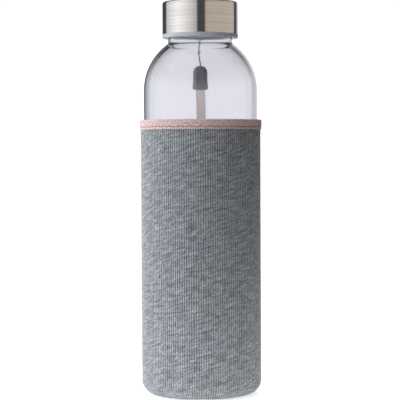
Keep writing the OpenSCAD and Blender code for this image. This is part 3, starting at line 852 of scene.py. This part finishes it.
# %% Elastic tape
rose_tape, tree, shader = new_finish("elastic_binding_tape", Roughness=0.7, Sheen_Weight=0.3,
                                     Sheen_Roughness=0.4)
place = add_node(tree, "ShaderNodeUVMap", uv_map="yarn").outputs["UV"]
weave_way = add_node(tree, "ShaderNodeMapping", {"Vector": place, "Scale": (2.4, 0.9, 1.0)})
weave = add_node(tree, "ShaderNodeTexNoise", {"Vector": weave_way.outputs["Vector"],
                                              "Scale": 1.0, "Detail": 3.0})
rose_tones = add_node(tree, "ShaderNodeValToRGB", {"Fac": weave.outputs["Fac"]}, stops=[
    (0.36, "#9A8480"), (0.5, "#CDB2AE"), (0.66, "#ECDBD7")])
tree.links.new(rose_tones.outputs["Color"], shader.inputs["Base Color"])
nap = add_node(tree, "ShaderNodeBump", {"Height": weave.outputs["Fac"], "Distance": 0.0001,
                                        "Strength": 0.5})
tree.links.new(nap.outputs["Normal"], shader.inputs["Normal"])
wear(binding, "sleeve", "elastic_tape", rose_tape, "top_binding")

# %% [markdown]
# ## The stitches
# A stitch is a short length of two-ply thread that comes up out of the cloth and dives back in.
# One stitch is drawn as a low arch with a twisted section, and copied along each seam.


# %% Sewing thread
def one_stitch(length, thread, rise):
    """Points of one stitch along X: a low arch of twisted thread that rises from z = 0."""
    t = np.linspace(0, 1, 13)
    line = np.stack([(t - 0.5) * length, 0 * t, rise * np.sin(np.pi * t) ** 0.5 - 0.02], 1)
    grid, _ = swept(line, twisted_strands(thread, 2, 1.1, sides=8), (0, 1, 0))
    return close_ends(grid)


def sew(name, stitch, places):
    """Copies one stitch to each place, a 4 x 4 matrix in mm, as one mesh."""
    rows, cols = stitch.shape[:2]
    flat = np.hstack([stitch.reshape(-1, 3), np.ones((rows * cols, 1))])
    points = np.vstack([(flat @ np.array(m).T)[:, :3] for m in places])
    index = np.arange(rows * cols).reshape(rows, cols)
    one = np.stack([index[:-1], np.roll(index[:-1], -1, 1), np.roll(index[1:], -1, 1), index[1:]],
                   -1).reshape(-1, 4)
    faces = np.vstack([one + i * rows * cols for i in range(len(places))])
    mesh = bpy.data.meshes.new(name)
    mesh.from_pydata((points * MM).tolist(), [], faces.tolist())
    return finish_mesh(name, mesh)


def thread_finish(name, dark, light):
    material, tree, shader = new_finish(name, Roughness=0.55, Sheen_Weight=0.3)
    ply = add_node(tree, "ShaderNodeTexNoise", {"Scale": 3000.0})
    tones = add_node(tree, "ShaderNodeValToRGB", {"Fac": ply.outputs["Fac"]},
                     stops=[(0.3, dark), (0.7, light)])
    tree.links.new(tones.outputs["Color"], shader.inputs["Base Color"])
    return material


rose_thread = thread_finish("rose_sewing_thread", "#6F5653", "#8F7572")
grey_thread = thread_finish("grey_sewing_thread", "#6F7479", "#8F959B")

# %% Seams
THREAD_D, SEAM_STEP = 0.3, 2.5
stand = Matrix.Rotation(math.radians(-90), 4, "X")
round_wall = [Matrix.Rotation(2 * math.pi * i / STITCHES_ROUND, 4, "Z")
              @ Matrix.Translation((0, TAPE_R - 0.34, STITCH_Z)) @ stand
              for i in range(STITCHES_ROUND)]
binding_seam = sew("binding_seam_stitches", one_stitch(1.8, THREAD_D, 0.12), round_wall)
wear(binding_seam, "sleeve", "rose_thread", rose_thread, "binding_stitches")

seam_low, seam_high = box_mm("back_seam_stitches")
seam_count = round((seam_high[2] - seam_low[2]) / SEAM_STEP) + 1
seam_foot = FOOT_R + SEAM_STEP / 2
down_back = [Matrix.Translation((0, SLEEVE_R - SEAM_DEPTH, seam_foot + SEAM_STEP * i)) @ stand
             @ Matrix.Rotation(math.radians(30 if i % 2 else -30), 4, "Z")
             for i in range(seam_count)]
back_seam = sew("back_seam_stitches_thread", one_stitch(3.4, THREAD_D, 0.12), down_back)
wear(back_seam, "sleeve", "grey_thread", grey_thread, "back_seam_stitches")

base_count = round(2 * math.pi * BASE_SEAM_R / SEAM_STEP)
flip = Matrix.Rotation(math.radians(180), 4, "X")
round_base = [Matrix.Rotation(2 * math.pi * i / base_count, 4, "Z")
              @ Matrix.Translation((0, BASE_SEAM_R, 0.32)) @ Matrix.Rotation(math.radians(90), 4, "Z")
              @ flip for i in range(base_count)]
base_seam = sew("base_seam_stitches", one_stitch(1.8, THREAD_D, 0.1), round_base)
wear(base_seam, "sleeve", "grey_thread", grey_thread, "base_stitches")

# %% [markdown]
# ## Studio
# The bottle stands on a small pale floor inside a ring of soft light. Glass and steel show mostly
# what is round them, so the light is designed as directions: a bright softbox on the left, a
# weaker and warmer one on the right, and dark gaps between them that draw the edges. Cloth, metal
# and glass each look best in a light of their own. So the Light Path node gives a ray that lands on
# cloth, one that is mirrored, and one that has passed through glass each its own surroundings.

# %% Floor
floor_mesh = bpy.data.meshes.new("floor")
FLOOR_R, FLOOR_Z = 0.13, -0.00005
edge = [(FLOOR_R * math.cos(a), FLOOR_R * math.sin(a), FLOOR_Z)
        for a in np.linspace(0, 2 * math.pi, 96, endpoint=False)]
floor_mesh.from_pydata(edge, [], [tuple(range(len(edge)))])
floor = bpy.data.objects.new("floor", floor_mesh)
bpy.context.scene.collection.objects.link(floor)
pale, tree, shader = new_finish("pale_floor", Roughness=0.9, Emission_Strength=0.6)
shader.inputs["Base Color"].default_value = colour("#EDEDED")
shader.inputs["Emission Color"].default_value = colour("#FFFFFF")
floor_mesh.materials.append(pale)

# %% Directions of light
world = bpy.data.worlds.new("studio")
world.use_nodes = True
bpy.context.scene.world = world
tree = world.node_tree
way = add_node(tree, "ShaderNodeTexCoord").outputs["Generated"]
parts = add_node(tree, "ShaderNodeSeparateXYZ", {"Vector": way})
azimuth = maths(tree, "MULTIPLY", maths(tree, "ARCTAN2", parts.outputs["X"], maths(
    tree, "MULTIPLY", parts.outputs["Y"], -1.0)), 180 / math.pi)
elevation = maths(tree, "MULTIPLY", maths(tree, "ARCSINE", parts.outputs["Z"]), 180 / math.pi)


# %% Patches of light
def softbox(middle, half_width, middle_up, half_height, edge):
    """1 inside a soft-edged round-cornered patch of the surroundings, 0 outside."""
    across = maths(tree, "POWER", maths(tree, "ABSOLUTE", maths(
        tree, "MULTIPLY_ADD", azimuth, 1 / half_width, -middle / half_width)), 6.0)
    up = maths(tree, "POWER", maths(tree, "ABSOLUTE", maths(
        tree, "MULTIPLY_ADD", elevation, 1 / half_height, -middle_up / half_height)), 3.0)
    reach = maths(tree, "ADD", across, up)
    return add_node(tree, "ShaderNodeMapRange", {
        "Value": reach, "From Min": 1 + edge, "From Max": 1 - edge}).outputs[0]


def beyond(value, start, end):
    """0 up to start and 1 past end, with a straight slope between them."""
    return add_node(tree, "ShaderNodeMapRange", {
        "Value": value, "From Min": start, "From Max": end}).outputs[0]


def painted(under, mask, tint):
    """The colour under a mask, changed to a tint where the mask is 1."""
    return add_node(tree, "ShaderNodeMixRGB", {
        "Fac": mask, "Color1": under, "Color2": colour(tint)}).outputs[0]


# %% Softboxes that metal mirrors
# The left box is brightest in its middle, 74 degrees round to the left.
left_box = softbox(-68.0, 59.0, 10.0, 60.0, 0.12)
from_middle = maths(tree, "ABSOLUTE", maths(tree, "MULTIPLY_ADD", azimuth, 1 / 60, 74 / 60))
left_glow = maths(tree, "MULTIPLY", left_box, maths(tree, "MULTIPLY_ADD", maths(
    tree, "POWER", from_middle, 1.3), -0.55, 0.98))
right_box = softbox(71.5, 56.5, 3.0, 30.0, 0.14)
room = painted(colour("#434346"), beyond(elevation, 55.0, 80.0), "#B8B8BC")
room = painted(room, beyond(azimuth, 147.0, 150.0), "#9C9CA4")
room = painted(room, left_glow, "#FFFFFF")
room = painted(room, right_box, "#BBB0A5")

# %% Light on cloth and behind glass
# Cloth, cord and floor are lit mostly from the left, and least from the right.
turned_round = maths(tree, "MULTIPLY_ADD", azimuth, 1 / 360, 0.5)
on_cloth = add_node(tree, "ShaderNodeValToRGB", {"Fac": turned_round}, stops=[
    (0.0, "#7C7C80"), (0.08, "#BCBCC0"), (0.14, "#CFCFD3"), (0.26, "#C8C8CC"),
    (0.34, "#A6A6AA"), (0.44, "#8C8C8E"), (0.5, "#343435"), (0.6, "#141414"),
    (0.78, "#141414"), (0.88, "#646465"), (0.96, "#7C7C80")])
lit_cloth = painted(on_cloth.outputs["Color"], beyond(elevation, 55.0, 72.0), "#FFFFFF")

# Light that has gone straight through the glass sees a pale wall that darkens overhead.
overhead = beyond(elevation, 14.0, 34.0)
behind_glass = painted(colour("#DCD9DF"), overhead, "#3A3A3C")

# Light that has bounced inside the glass wall comes out at its outlines. It sees a wall that
# is pale on the right and falls to dark in a narrow strip behind the bottle on the left.
strips = add_node(tree, "ShaderNodeValToRGB", {"Fac": turned_round}, stops=[
    (0.0, "#3C3C42"), (0.022, "#50505A"), (0.036, "#787882"), (0.06, "#A0A0AA"),
    (0.085, "#B4B4BE"), (0.12, "#C6C6CE"), (0.89, "#CECED6"), (0.93, "#B6B6BE"),
    (0.96, "#D2D2DA"), (1.0, "#DCDCE2")]).outputs["Color"]
inside_wall = painted(strips, beyond(maths(tree, "ABSOLUTE", elevation), 8.0, 26.0), "#2C2D2C")

# %% Which light a ray sees
path = add_node(tree, "ShaderNodeLightPath")
straight = maths(tree, "LESS_THAN", path.outputs["Glossy Depth"], 0.5)
through = add_node(tree, "ShaderNodeMixRGB", {
    "Fac": straight, "Color1": inside_wall, "Color2": behind_glass}).outputs[0]
around = add_node(tree, "ShaderNodeMixRGB", {
    "Fac": path.outputs["Is Diffuse Ray"], "Color1": room, "Color2": lit_cloth}).outputs[0]
seen = add_node(tree, "ShaderNodeMixRGB", {
    "Fac": path.outputs["Is Transmission Ray"], "Color1": around, "Color2": through}).outputs[0]
# What lights the cloth, straight or through the glass, is stronger than what is mirrored.
onto_cloth = maths(tree, "LESS_THAN", 0.5, path.outputs["Diffuse Depth"])
power = maths(tree, "MULTIPLY_ADD", onto_cloth, maths(
    tree, "MULTIPLY_ADD", path.outputs["Is Transmission Ray"], 1.6, 2.3), 1.5)
surroundings = add_node(tree, "ShaderNodeBackground", {"Color": seen, "Strength": power})
backdrop = add_node(tree, "ShaderNodeBackground", {"Color": colour("#FFFFFF"), "Strength": 1.1})
mixed = add_node(tree, "ShaderNodeMixShader", {
    "Fac": path.outputs["Is Camera Ray"], 1: surroundings.outputs[0], 2: backdrop.outputs[0]})
tree.links.new(mixed.outputs[0], tree.nodes["World Output"].inputs["Surface"])
bpy.context.scene.view_settings.view_transform = "Standard"
# Glass edges stay crisp when no blur is added to a reflection after the first bounce.
bpy.context.scene.cycles.blur_glossy = 0.0
print("studio ready")
